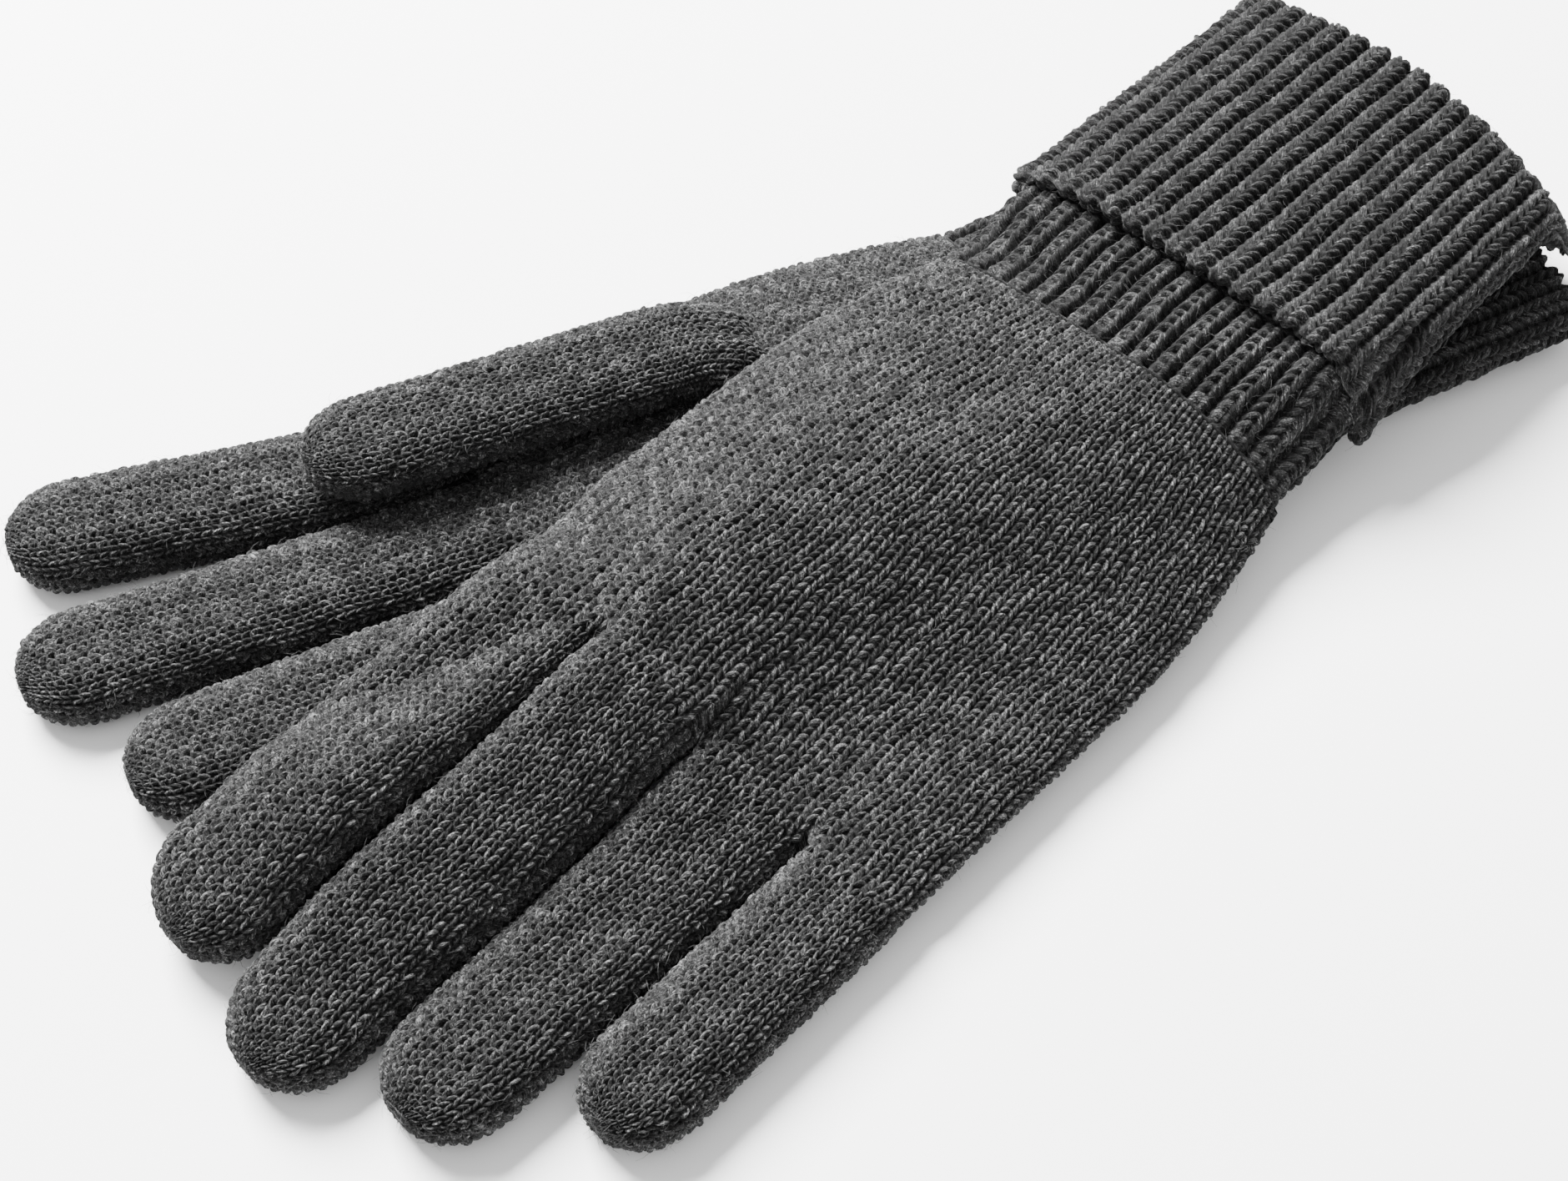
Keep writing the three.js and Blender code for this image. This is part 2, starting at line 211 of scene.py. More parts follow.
# How high the left glove lies at a point: full height over the right glove, its cuff and the left
# thumb, and falling smoothly to the table beside them. Its stiffer cuff only sags past the lower one.
def laidHeight(x, y):
    lowerU, lowerV = toGlove(gloves["right"], x, y)
    upperU, upperV = toGlove(gloves["left"], x, y)
    near = distanceToBox(lowerU, lowerV, -cuff["length"], hand["end"], hand["width"] / 2)
    for name in fingers:
        toFinger = distanceToFinger(lowerU, lowerV, gloves["right"], name)
        near = np.minimum(near, toFinger - drape["bridge"])
    toCuff = distanceToBox(lowerU, lowerV, -cuff["length"], 0, cuff["width"] / 2)
    thumb = gloves["left"]["thumb"]
    back, front = thumb["u"] - thumbBuild["base"], thumb["u"] + thumb["length"]
    toThumb = distanceToBox(upperU, upperV - thumb["across"], back, front, thumbBuild["width"] / 2)
    draped = laid["glove"] * (1 - smoothstep(near, *drape["glove"]))
    draped += (laid["cuff"] - laid["glove"]) * (1 - smoothstep(toCuff, *drape["overCuff"]))
    draped += (laid["thumb"] - laid["glove"]) * (1 - smoothstep(toThumb, *drape["thumb"]))
    side, front = drape["stiffSide"], drape["stiffFront"]
    overhang = distanceToBox(lowerU, lowerV - side, -cuff["length"], front, cuff["width"] / 2 + side)
    level = laid["cuff"] * (1 - smoothstep(overhang, *drape["cuff"]))
    return mix(level, draped, smoothstep(upperU, 0, drape["softFrom"]))


slowWaveHeight = 0.16


# Slow waves of the cloth: three sines across each other, a few centimetres long.
def slowWaves(x, y):
    waves = np.sin(x / 9.1 + y / 17.3) + np.sin(y / 7.7 - x / 21.9 + 1.7)
    return waves + np.sin(x / 14.7 - y / 11.3 + 0.6)


# A finger lies nearly level across itself, so it takes its height partly from its middle line.
def layDown(glove, u, v, z, level=None):
    levelU, levelV = level or (u, v)
    if glove["drapes"]:
        v = v + drape["spread"] * np.maximum(v - drape["spreadFrom"], 0)
    x, y = fromGlove(glove, u, v)
    z = z + slowWaveHeight * slowWaves(x, y) * np.clip(z / 13, 0, 1)
    if glove["drapes"]:
        z = z + laidHeight(*fromGlove(glove, levelU, levelV))
    return np.stack(np.broadcast_arrays(x, y, z), -1)


# The height of a section over its middle line at a place across it: a superellipse, pressed flat.
def crown(beside, flattening):
    power = sectionForm["squareness"]
    rise = np.maximum(1 - np.minimum(np.abs(beside), 1) ** power, 0) ** (1 / power)
    return np.minimum(flattening * rise, 1)


# A section as a table: the share of the way round, and the place across and up, each from -1 to 1.
def sectionTable(width, height):
    angle = np.linspace(0, 2 * np.pi, 1441)
    across = np.cos(angle)
    top = crown(across, sectionForm["topFlattening"])
    under = -crown(across, sectionForm["underFlattening"])
    up = np.where(np.sin(angle) >= 0, top, under)
    steps = np.hypot(np.diff(across * width / 2), np.diff(up * height / 2))
    gone = np.concatenate([[0], np.cumsum(steps)])
    return gone / gone[-1], across, up


def sectionAt(table, q):
    share, across, up = table
    return np.interp(q % 1, share, across), np.interp(q % 1, share, up)


# Each shape below gives the point at q (share of the way round) and t (courses along), moved inwards
# by inset. The hand's end takes the outline of the four fingers side by side.
def handShape(side, course):
    glove = gloves[side]
    table = sectionTable(hand["width"], hand["height"])

    def shape(q, t, inset):
        u = hand["start"] + course * t
        width = np.interp(u, handGrowth["u"], handGrowth["width"])
        dip = smoothstep(u, hand["thinFrom"], hand["end"])
        dip = dip + 1 - smoothstep(u, hand["start"], hand["heelEnd"])
        half = (hand["height"] - (hand["height"] - hand["rootHeight"]) * dip) / 2
        across, up = sectionAt(table, q)
        v = across * (width / 2 - inset)
        form = np.where(up > 0, sectionForm["topFlattening"], sectionForm["underFlattening"])
        rows = np.zeros_like(v + up)
        levelV = v + rows
        for size in fingers.values():
            beside = (v - size["across"]) / (size["width"] / 2)
            rows = np.maximum(rows, np.where(np.abs(beside) < 1, crown(beside, form), 0))
            levelV = np.where(np.abs(beside) < 1.06, size["across"], levelV)
        stepped = smoothstep(u, hand["stepFrom"], hand["end"])
        profile = mix(np.abs(up), rows, smoothstep(u, hand["end"] - hand["rootsOver"], hand["end"]))
        thick = np.maximum(half * profile - inset, np.where(np.abs(up) > 0.02, 0.3, 0))
        level = (u, mix(v, levelV, hand["levelling"] * stepped))
        return layDown(glove, u, v, half + np.sign(up) * thick, level)

    return shape


# Past the straight part, the tip is a dome: its outline is a quarter circle.
def tipOf(gone, straight, inset):
    turned = np.clip((gone - straight) / fingerBuild["tip"], 0, np.pi / 2)
    along = np.minimum(gone, straight) + (fingerBuild["tip"] - inset) * np.sin(turned)
    return along, np.cos(turned)


def fingerShape(side, name, course):
    glove, size = gloves[side], fingers[name]
    height = fingerBuild["height"]
    table = sectionTable(size["width"], height)

    def shape(q, t, inset):
        along, kept = tipOf(course * t, size["length"] - fingerBuild["tip"], inset)
        across, up = sectionAt(table, q)
        v = across * (size["width"] / 2 - inset) * kept
        z = height / 2 + up * (height / 2 - inset) * kept ** fingerBuild["blunt"]
        u0, v0, turn = fingerLine(glove, name, along)
        beside = v0 + v * np.cos(turn)
        level = (u0, mix(beside, v0, hand["levelling"]))
        return layDown(glove, u0 - v * np.sin(turn), beside, z, level)

    return shape


# The thumb rises from the palm and bends over. The outside of its elbow is an ellipse about the
# inside corner.
def thumbShape(side, course):
    glove = gloves[side]
    thumb = glove["thumb"]
    turn = math.radians(thumb["lean"])
    elbow = thumbBuild["elbowCourses"]
    table = sectionTable(thumbBuild["width"], thumb["height"])
    above = thumb["above"]

    def shape(q, t, inset):
        bend = np.radians(90 * (1 - np.clip(t / elbow, 0, 1)))
        gone = course * np.maximum(t - elbow, 0)
        along, kept = tipOf(gone, thumb["length"] - fingerBuild["tip"], inset)
        back, up = above + thumbBuild["base"], above + thumb["height"]
        depth = 1 / np.hypot(np.sin(bend) / back, np.cos(bend) / up) - above
        across, rise = sectionAt(table, q)
        out = above + depth / 2 + rise * (depth / 2 - inset) * kept ** fingerBuild["blunt"]
        beside = across * (thumbBuild["width"] / 2 - inset) * kept
        forward = along - out * np.sin(bend)
        u = thumb["u"] + forward * math.cos(turn) - beside * math.sin(turn)
        v = thumb["across"] + forward * math.sin(turn) + beside * math.cos(turn)
        x, y = fromGlove(glove, u, v)
        high = out * np.cos(bend) * (-1 if glove["drapes"] else 1)
        return np.stack(np.broadcast_arrays(x, y, glove["palm"] + high), -1)

    return shape


def tubeShape(side, size, course):
    table = sectionTable(size["width"], size["height"][0])

    def shape(q, t, inset):
        u = size["start"] + course * t
        across, up = sectionAt(table, q)
        v = across * (size["width"] / 2 - inset)
        stations = np.linspace(size["start"], size["end"], len(size["lift"]))
        half = np.interp(u, stations, size["height"]) / 2
        lifted = np.interp(u, stations, size["lift"])
        return layDown(gloves[side], u, v, half + up * (half - inset) + lifted)

    return shape


# The turned-back cuff starts inside its rolled front edge, and runs over it to the fold and round that.
def cuffShape(side, course):
    table = sectionTable(cuff["width"], cuff["height"])
    radius, edge = cuff["foldRadius"], cuff["edgeRadius"]
    straight = cuff["length"] - cuff["front"] - radius

    def shape(q, t, inset):
        gone = course * t - np.pi * edge
        turned = np.clip((gone - straight + edge) / radius, 0, np.pi)
        curled = np.clip(-gone / edge, 0, np.pi)
        reach = np.where(gone > 0, radius, edge) - inset
        u = -cuff["front"] - edge - np.clip(gone, 0, straight - edge)
        u = u - reach * np.sin(turned) + reach * np.sin(curled)
        inwards = np.where(gone > 0, radius - reach * np.cos(turned), edge - reach * np.cos(curled))
        across, up = sectionAt(table, q)
        v = across * (cuff["width"] / 2 - inwards)
        z = cuff["height"] / 2 + up * (cuff["height"] / 2 - inwards)
        return layDown(gloves[side], u, v, z)

    return shape


# Height of a leg of yarn over its place along it and across it, both from 0 to 1: the root of one less
# the squares of the distances from its middle, so that it is round and its neighbours overlap a little.
def grain(along, across, slim):
    offMiddle = slim * (2 * along - 1) ** 2 + 0.86 * (2 * (across % 1) - 1) ** 2
    return np.sqrt(np.maximum(1 - offMiddle, 0))


# A plain stitch is a wale of two slanted legs, which meet in a valley along its middle. The valley to
# the next wale is a little deeper.
def plainHeight(x, phase, knit, legs):
    beside = np.abs(x % 1 - 0.5) * 2
    leg = grain(beside, phase, 0.8)
    between = smoothstep(beside, 0.72, 1)
    return knit["relief"] * (leg * legs - 1 - 0.22 * between) + 0.2


# A rib is a wale that stands up rounded between two grooves. Near the cuff's front edge the grooves
# get shallower and the fabric rolls outwards, by a bell-shaped bump along the courses.
def ribHeight(x, phase, knit, legs):
    beside = np.abs(x % 1 - 0.5) * 2
    body = np.sqrt(1 - (0.99 * np.minimum(beside / 0.9, 1)) ** 3) - 1
    leg = grain(np.minimum(beside / 0.8, 1), phase, 0.7)
    edge = mix(0.3, 1, smoothstep(phase, 0, knit["band"])) if knit["band"] else 1
    roll = knit["roll"] * np.exp(-(((phase - knit["rollAt"]) / 1.3) ** 2))
    return knit["groove"] * body * edge + knit["relief"] * (leg * legs - 1) + roll + 0.2


handCourses = 62
plainKnit = {
    "course": (hand["end"] - hand["start"]) / handCourses,
    "rise": 0.9,
    "relief": 0.9,
    "wander": 0.1,
    "ply": 2.0,
    "height": plainHeight,
    "fine": [0, 0.13, 0.26, 0.39, 0.5, 0.66, 0.83],
    "middling": [0, 1 / 6, 1 / 3, 1 / 2, 2 / 3, 5 / 6],
    "coarse": [0, 0.25, 0.5, 0.75],
    "rows": 4,
}
ribColumns = [0, 0.09, 0.17, 0.27, 0.38, 0.5, 0.62, 0.73, 0.83, 0.91]
ribKnit = {
    "course": 2.15,
    "rise": 1.05,
    "relief": 1.0,
    "groove": 1.6,
    "band": 0,
    "roll": 0,
    "rollAt": 0,
    "wander": 0.03,
    "ply": 2.3,
    "height": ribHeight,
    "fine": ribColumns,
    "coarse": ribColumns,
    "rows": 5,
}
innerKnit = {**ribKnit, "rows": 4, "groove": 1.0, "relief": 0.6, "ply": 2.0}
cuffKnit = {**ribKnit, "band": 5.0, "roll": 0.7, "rollAt": 2.4, "innerFrom": 2.1}


# Faces of a grid of rings as corner numbers, with the column and row of each corner.
def gridFaces(rings, columns, wrapped):
    bands = rings if wrapped else rings - 1
    row, column = np.meshgrid(np.arange(bands), np.arange(columns), indexing="ij")
    corners = [(0, 0), (0, 1), (1, 1), (1, 0)]
    index = [((row + r) % rings) * columns + (column + c) % columns for r, c in corners]
    rows = [row + r for r, _ in corners]
    across = [column + c for _, c in corners]
    return [np.stack(part, -1).reshape(-1, 4) for part in (index, across, rows)]


# Six times the volume inside a grid of rings, by its triangles' triple products. Its sign tells which
# way the faces look.
def turning(points, faces):
    a, b, c, d = (points[faces[:, k]] for k in range(4))
    return np.einsum("ij,ij->", a, np.cross(b, c)) + np.einsum("ij,ij->", a, np.cross(c, d))


# Yarn and fibres that would go into the table turn up from it, so heights are taken without their sign.
def addMesh(name, points, cornerLists, uvLists=None, depth=None):
    points[:, 2] = np.abs(points[:, 2])
    mesh = bpy.data.meshes.new(name)
    mesh.vertices.add(len(points))
    mesh.vertices.foreach_set("co", (points / 1000).astype(np.float32).ravel())
    sizes = np.concatenate([np.full(len(part), part.shape[1]) for part in cornerLists])
    corners = np.concatenate([part.ravel() for part in cornerLists])
    mesh.loops.add(len(corners))
    mesh.loops.foreach_set("vertex_index", corners.astype(np.int32))
    mesh.polygons.add(len(sizes))
    starts = np.concatenate([[0], np.cumsum(sizes)[:-1]])
    mesh.polygons.foreach_set("loop_start", starts.astype(np.int32))
    mesh.polygons.foreach_set("use_smooth", np.ones(len(sizes), bool))
    if uvLists:
        layer = mesh.uv_layers.new(name="Yarn")
        uv = np.concatenate([part.reshape(-1, 2) for part in uvLists])
        layer.data.foreach_set("uv", uv.astype(np.float32).ravel())
    # The depth of each point, which darkens the wool's colour in the hollows as painted shade.
    if depth is not None:
        attribute = mesh.attributes.new("depth", "FLOAT", "POINT")
        attribute.data.foreach_set("value", depth.astype(np.float32))
    mesh.update(calc_edges=True)
    piece = bpy.data.objects.new(name, mesh)
    bpy.context.scene.collection.objects.link(piece)
    return piece


# The places of the columns, in wales. The upper half of the way round can be finer than the lower.
def columnPlaces(wales, upper, lower, shift):
    places = []
    for wale in range(wales):
        onTop = (wale + 0.5 - shift) / wales % 1 < 0.5
        places.extend(wale + part for part in (upper if onTop else lower))
    return np.array(places)


# Slow and quick wanderings of the courses, as a share of a course, and how far legs differ in height.
uneven = {"slow": 0.16, "quick": 0.1, "legs": 0.15}


# Knits a closed surface: the outside is the shape moved out by the height of each stitch. Rows follow
# the valleys between the legs, so that they run in chevrons. The inside is smooth.
def knitPiece(name, shape, knit, wales, courses, detail, ends, shift=0.0, seed=1):
    upper, lower = detail
    x = columnPlaces(wales, knit[upper], knit[lower], shift)[None, :]
    rowCount = round(courses * knit["rows"]) + 1
    phase = np.linspace(0, courses, rowCount)[:, None]
    beside = np.abs(x % 1 - 0.5) * 2
    if knit["height"] is ribHeight:
        beside = np.minimum(beside / 0.8, 1)
    fade = np.ones_like(phase)
    if ends[0] != "nested":
        fade = fade * smoothstep(phase, 0, 3)
    if ends[1] != "nested":
        fade = fade * smoothstep(courses - phase, 0, 3)
    t = phase + knit["rise"] * fade * (beside - 0.5)
    calm = smoothstep(phase, 0, 4) * smoothstep(courses - phase, 0, 4)
    t = t + uneven["slow"] * calm * np.sin(x * 0.83 + 1.9 * np.sin(phase * 0.23 + seed))
    t = t + uneven["quick"] * calm * np.sin(x * 2.9 + 4.1 * np.sin(phase * 0.71 + seed))
    sideways = knit["wander"] * calm * np.sin(phase * 0.61 + x * 0.37 + seed)
    q = (x - shift + sideways) / wales
    base = shape(q, t, 0.0)
    acrossStep = shape(q + 1e-4, t, 0.0) - shape(q - 1e-4, t, 0.0)
    alongStep = shape(q, t + 1e-3, 0.0) - shape(q, t - 1e-3, 0.0)
    normal = np.cross(acrossStep, alongStep)
    normal /= np.maximum(np.linalg.norm(normal, axis=2, keepdims=True), 1e-12)
    faces, across, rows = gridFaces(rowCount, x.size, False)
    flip = turning(base.reshape(-1, 3), faces) < 0
    if flip:
        normal = -normal
    chance = np.random.default_rng(seed).normal(1, uneven["legs"], (2 * wales, int(courses) + 2))
    leg = (np.floor(x * 2).astype(int) % (2 * wales)) + 0 * np.floor(phase).astype(int)
    legs = chance[leg, np.floor(phase).astype(int) + 0 * leg]
    height = knit["height"](x, phase, knit, legs)
    if ends[1] == "pole":
        height = height * smoothstep(courses - phase, 0, 2.5)
    outer = base + normal * height[..., None]
    # Depth runs from 0 in the deepest valley to 1 on the highest crest; the wool's colour is darkened by
    # it in the hollows, as painted shade.
    depth = (height - height.min()) / (height.max() - height.min())
    return closePiece(name, shape, knit, outer, x, phase, ends, shift, normal, depth)


# The depths through the ply, as shares of it, and the places past the end of the rings of a rim.
rim = [(0.2, 0.12), (0.45, 0.2), (0.75, 0.12)]


# Rims and the inside close the surface. A pole ends it in one point.
def closePiece(name, shape, knit, outer, x, phase, ends, shift, normal, depth):
    wales = round(float(x.max()) + 0.5)
    ply, last = knit["ply"], float(phase[-1, 0])
    level = (x - shift) / wales
    innerPlaces = np.linspace(last, knit.get("innerFrom", 0), 7)
    inner = [shape(level, np.full_like(level, t), ply) for t in innerPlaces]
    startRim = [
        shape(level, np.full_like(level, -out), ply * part)
        for part, out in (rim[::-1] if ends[0] == "rim" else [])
    ]
    endRim = [
        shape(level, np.full_like(level, last + out), ply * part)
        for part, out in (rim if ends[1] == "rim" else [])
    ]
    if ends[1] == "pole":
        rings = [outer[::-1][1:]] + startRim[::-1] + inner[::-1][:-1]
        places = np.concatenate([phase[::-1, 0][1:], -1 - np.arange(sum(len(r) for r in rings[1:]))])
    else:
        rings = [outer] + endRim + inner + startRim
        places = np.concatenate([phase[:, 0], last + 1 + np.arange(sum(len(r) for r in rings[1:]))])
    grid = np.concatenate(rings)
    points = grid.reshape(-1, 3)
    wrapped = ends[1] != "pole"
    faces, across, rows = gridFaces(len(grid), x.size, wrapped)
    columnUv = np.append(x[0], wales) * 2
    rowUv = np.append(places, places[-1] + (1 if wrapped else -1))
    cornerLists = [faces]
    uvLists = [np.stack([columnUv[across], rowUv[rows]], -1)]
    if not wrapped:
        poles = [outer[-1].mean(0), inner[0][0].mean(0)]
        points = np.concatenate([points, poles])
        count, near = x.size, np.arange(x.size)
        tips = [(len(points) - 2, 0, False), (len(points) - 1, len(grid) - 1, True)]
        for pole, ring, reverse in tips:
            a, b = ring * count + near, ring * count + (near + 1) % count
            fan = [b, a, np.full_like(a, pole)] if not reverse else [a, b, np.full_like(a, pole)]
            cornerLists.append(np.stack(fan, -1))
            uv = np.stack([columnUv[near], np.full(count, places[ring])], -1)
            uvLists.append(np.repeat(uv[:, None, :], 3, 1))
    if turning(points, faces) < 0:
        cornerLists = [part[:, ::-1] for part in cornerLists]
        uvLists = [part[:, ::-1] for part in uvLists]
    # The depth for the painted shade in the wool's colour: the rims and the inside take a middle value.
    low = np.full(len(points), 0.6)
    shown = depth[::-1][1:] if not wrapped else depth
    low[: shown.size] = shown.ravel()
    piece = addMesh(name, points, cornerLists, uvLists, low)
    fuzzFrom[name] = (outer, normal)
    return piece


fuzzFrom = {}
strays = {"length": (1.0, 3.2), "radius": 0.034, "steps": 3, "lean": 0.75}


# Stray fibres: short curved tubes of three sides that leave the yarn near the surface. Each follows
# a start point, plus its direction times the way along, plus a curl times the square of it.
def addStrays(name, count, seed):
    outer, normal = fuzzFrom[name]
    chance = np.random.default_rng(seed)
    start = chance.integers(0, outer.shape[0] * outer.shape[1], count)
    origin = outer.reshape(-1, 3)[start]
    away = normal.reshape(-1, 3)[start]
    sideways = np.cross(away, chance.normal(size=(count, 3)))
    sideways /= np.linalg.norm(sideways, axis=1, keepdims=True)
    second = np.cross(away, sideways)
    length = chance.uniform(*strays["length"], (count, 1, 1))
    lift = chance.uniform(0.1, 1, (count, 1)) ** 2
    direction = sideways * strays["lean"] + away * lift
    curl = second * chance.normal(0, 0.5, (count, 1)) - away * lift * 0.45
    way = np.linspace(0, 1, strays["steps"])[None, :, None]
    path = origin[:, None] - 0.15 * away[:, None]
    path = path + length * (direction[:, None] * way + curl[:, None] * way**2)
    angle = np.arange(3) * 2 * np.pi / 3
    ring = np.cos(angle)[:, None] * away[:, None, None] + np.sin(angle)[:, None] * second[:, None, None]
    taper = strays["radius"] * (1 - 0.6 * way[..., None])
    points = (path[:, :, None] + ring * taper).reshape(-1, 3)
    steps = strays["steps"]
    step, corner = np.meshgrid(np.arange(steps - 1), np.arange(3), indexing="ij")
    here, beside = step * 3 + corner, step * 3 + (corner + 1) % 3
    quad = np.stack([here, beside, beside + 3, here + 3], -1).reshape(-1, 4)
    base = (np.arange(count) * steps * 3)[:, None, None]
    quads = (base + quad[None]).reshape(-1, 4)
    ends = np.array([[2, 1, 0], [steps * 3 - 3, steps * 3 - 2, steps * 3 - 1]])
    caps = (base + ends[None]).reshape(-1, 3)
    return addMesh(name + "_strays", points, [quads, caps])


def linear(code):
    parts = [int(code[i : i + 2], 16) / 255 for i in (1, 3, 5)]
    return [*(p / 12.92 if p <= 0.04045 else ((p + 0.055) / 1.055) ** 2.4 for p in parts), 1]


def addNode(tree, kind, settings=None, links=None):
    node = tree.nodes.new(kind)
    for key, value in (settings or {}).items():
        if isinstance(key, str) and hasattr(node, key):
            setattr(node, key, value)
        else:
            node.inputs[key].default_value = value
    for key, source in (links or {}).items():
        tree.links.new(source, node.inputs[key])
    return node


def setRamp(node, stops):
    elements = node.color_ramp.elements
    while len(elements) < len(stops):
        elements.new(0.5)
    for element, (place, code) in zip(elements, stops):
        element.position = place
        element.color = linear(code)


def newMaterial(name):
    material = bpy.data.materials.new(name)
    material.use_nodes = True
    tree = material.node_tree
    shader = tree.nodes["Principled BSDF"]
    return material, tree, shader


woolColours = {
    "dark": "#0e0e0e",
    "shade": "#2c2c2c",
    "mid": "#525252",
    "light": "#8a8a8a",
    "fleck": "#c4c4c4",
}


# Carded wool spun from dark and light fibres. It gives the eye fine streaks that run along each leg
# of each stitch, specks of lint of about a third of a millimetre, legs that differ a little in tone,
# painted shade in the hollows between them, and a matt, slightly hazy surface. Tone scales its
# brightness, and darker moves the share of dark fibres up.
def knitWool(name, tone, darker):
    material, tree, shader = newMaterial(name)
    uv = addNode(tree, "ShaderNodeUVMap", {"uv_map": "Yarn"})
    apart = addNode(tree, "ShaderNodeSeparateXYZ", links={0: uv.outputs[0]})
    twist = addNode(tree, "ShaderNodeMath", {"operation": "MULTIPLY", 1: 0.4}, {0: apart.outputs["X"]})
    turned = addNode(
        tree, "ShaderNodeMath", {"operation": "ADD"}, {0: apart.outputs["Y"], 1: twist.outputs[0]}
    )
    yarn = addNode(tree, "ShaderNodeCombineXYZ", links={"X": apart.outputs["X"], "Y": turned.outputs[0]})
    stretch = addNode(
        tree, "ShaderNodeVectorMath", {"operation": "MULTIPLY", 1: (2.9, 8.0, 1)}, {0: yarn.outputs[0]}
    )
    streaks = addNode(
        tree, "ShaderNodeTexNoise", {"Scale": 1.0, "Detail": 4.0, "Roughness": 0.68, "Distortion": 0.8},
        {"Vector": stretch.outputs[0]},
    )
    cell = addNode(tree, "ShaderNodeVectorMath", {"operation": "FLOOR"}, {0: uv.outputs[0]})
    perLeg = addNode(
        tree, "ShaderNodeTexWhiteNoise", {"noise_dimensions": "2D"}, {"Vector": cell.outputs[0]}
    )
    coords = addNode(tree, "ShaderNodeTexCoord")
    broad = addNode(
        tree, "ShaderNodeTexNoise", {"Scale": 190.0, "Detail": 2.0}, {"Vector": coords.outputs["Object"]}
    )
    legShift = addNode(
        tree, "ShaderNodeMapRange", {"To Min": -0.07, "To Max": 0.07}, {"Value": perLeg.outputs["Value"]}
    )
    broadShift = addNode(
        tree, "ShaderNodeMapRange", {"From Min": 0.3, "From Max": 0.7, "To Min": -0.025, "To Max": 0.025},
        {"Value": broad.outputs["Fac"]},
    )
    first = addNode(
        tree, "ShaderNodeMath", {"operation": "ADD"}, {0: streaks.outputs["Fac"], 1: legShift.outputs[0]}
    )
    lint = addNode(
        tree, "ShaderNodeTexNoise", {"Scale": 2600.0, "Detail": 2.0}, {"Vector": coords.outputs["Object"]}
    )
    lintShift = addNode(
        tree, "ShaderNodeMapRange", {"From Min": 0.3, "From Max": 0.7, "To Min": -0.1, "To Max": 0.1},
        {"Value": lint.outputs["Fac"]},
    )
    second = addNode(
        tree, "ShaderNodeMath", {"operation": "ADD"}, {0: first.outputs[0], 1: broadShift.outputs[0]}
    )
    value = addNode(
        tree, "ShaderNodeMath", {"operation": "ADD"}, {0: second.outputs[0], 1: lintShift.outputs[0]}
    )
    ramp = addNode(tree, "ShaderNodeValToRGB", links={"Fac": value.outputs[0]})
    c = woolColours
    places = [darker + place for place in (0.3, 0.41, 0.52, 0.62, 0.71)]
    setRamp(ramp, list(zip(places, (c["dark"], c["shade"], c["mid"], c["light"], c["fleck"]))))
    # Painted shade: the depth attribute, low in the valleys between legs, scales the colour from a tenth
    # there up to the tone on the crests, so the hollows are darkened in the colour itself.
    depth = addNode(tree, "ShaderNodeAttribute", {"attribute_name": "depth"})
    shade = addNode(
        tree, "ShaderNodeMapRange", {"From Max": 0.9, "To Min": 0.1, "To Max": tone},
        {"Value": depth.outputs["Fac"]},
    )
    hollowShadedColour = addNode(tree, "ShaderNodeVectorMath", {"operation": "SCALE"}, {0: ramp.outputs["Color"]})
    tree.links.new(shade.outputs[0], hollowShadedColour.inputs["Scale"])
    bump = addNode(
        tree, "ShaderNodeBump", {"Strength": 1.0, "Distance": 0.0003}, {"Height": streaks.outputs["Fac"]}
    )
    tree.links.new(hollowShadedColour.outputs[0], shader.inputs["Base Color"])
    tree.links.new(bump.outputs[0], shader.inputs["Normal"])
    shader.inputs["Roughness"].default_value = 0.92
    shader.inputs["Specular IOR Level"].default_value = 0.1
    shader.inputs["Sheen Weight"].default_value = 0.06
    shader.inputs["Sheen Roughness"].default_value = 0.5
    return material


# Loose wool fibres: they catch the light at the outline and soften it.
def looseWool(name):
    material, tree, shader = newMaterial(name)
    shader.inputs["Base Color"].default_value = linear("#4c4c4c")
    shader.inputs["Roughness"].default_value = 0.8
    shader.inputs["Specular IOR Level"].default_value = 0.3
    return material


plainWool = knitWool("charcoal_wool_plain_knit", 0.56, 0.04)
# The ribbing is the same yarn as the plain knit, painted darker over all with a lower tone and more dark
# fibres: painted shade for the deep grooves between its ribs.
ribWool = knitWool("charcoal_wool_rib_knit", 0.36, 0.08)
strayWool = looseWool("loose_wool_fibres")


# How a piece moves: it rides on one body; a piece between two bodies only has its transform baked into
# its mesh and rides on neither, and the two points of its bend are not used.
def attach(piece, bodies, bend):
    if len(bodies) == 1:
        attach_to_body(piece, bodies[0])
    else:
        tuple(bend[0])
        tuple(bend[1])
        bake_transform(piece)


def onTable(side, u, v, z):
    x, y = fromGlove(gloves[side], u, v)
    return (x / 1000, y / 1000, z / 1000)


def finishPiece(piece, nodes, material, bodies, bend=None, fuzz=0, seed=1):
    piece.data.materials.append(material)
    parts = [piece]
    if fuzz:
        stray = addStrays(piece.name, fuzz, seed)
        stray.data.materials.append(strayWool)
        parts.append(stray)
    for part in parts:
        attach(part, bodies, bend)
    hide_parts(*nodes)


def fingerBodies(side, name):
    body = f"{side}_{name}"
    return [f"{side}_glove", body] if body in frame["bodies"] else [f"{side}_glove"]


handWales = 70
fingerWales = 26


# Where the wales of a finger have to start, so that they run on from those of the hand.
def waleShift(name):
    table = sectionTable(hand["width"], hand["height"])
    half = slice(0, 721)
    share = np.interp(-fingers[name]["across"] / (hand["width"] / 2), -table[1][half], table[0][half])
    return float(share * handWales % 1)


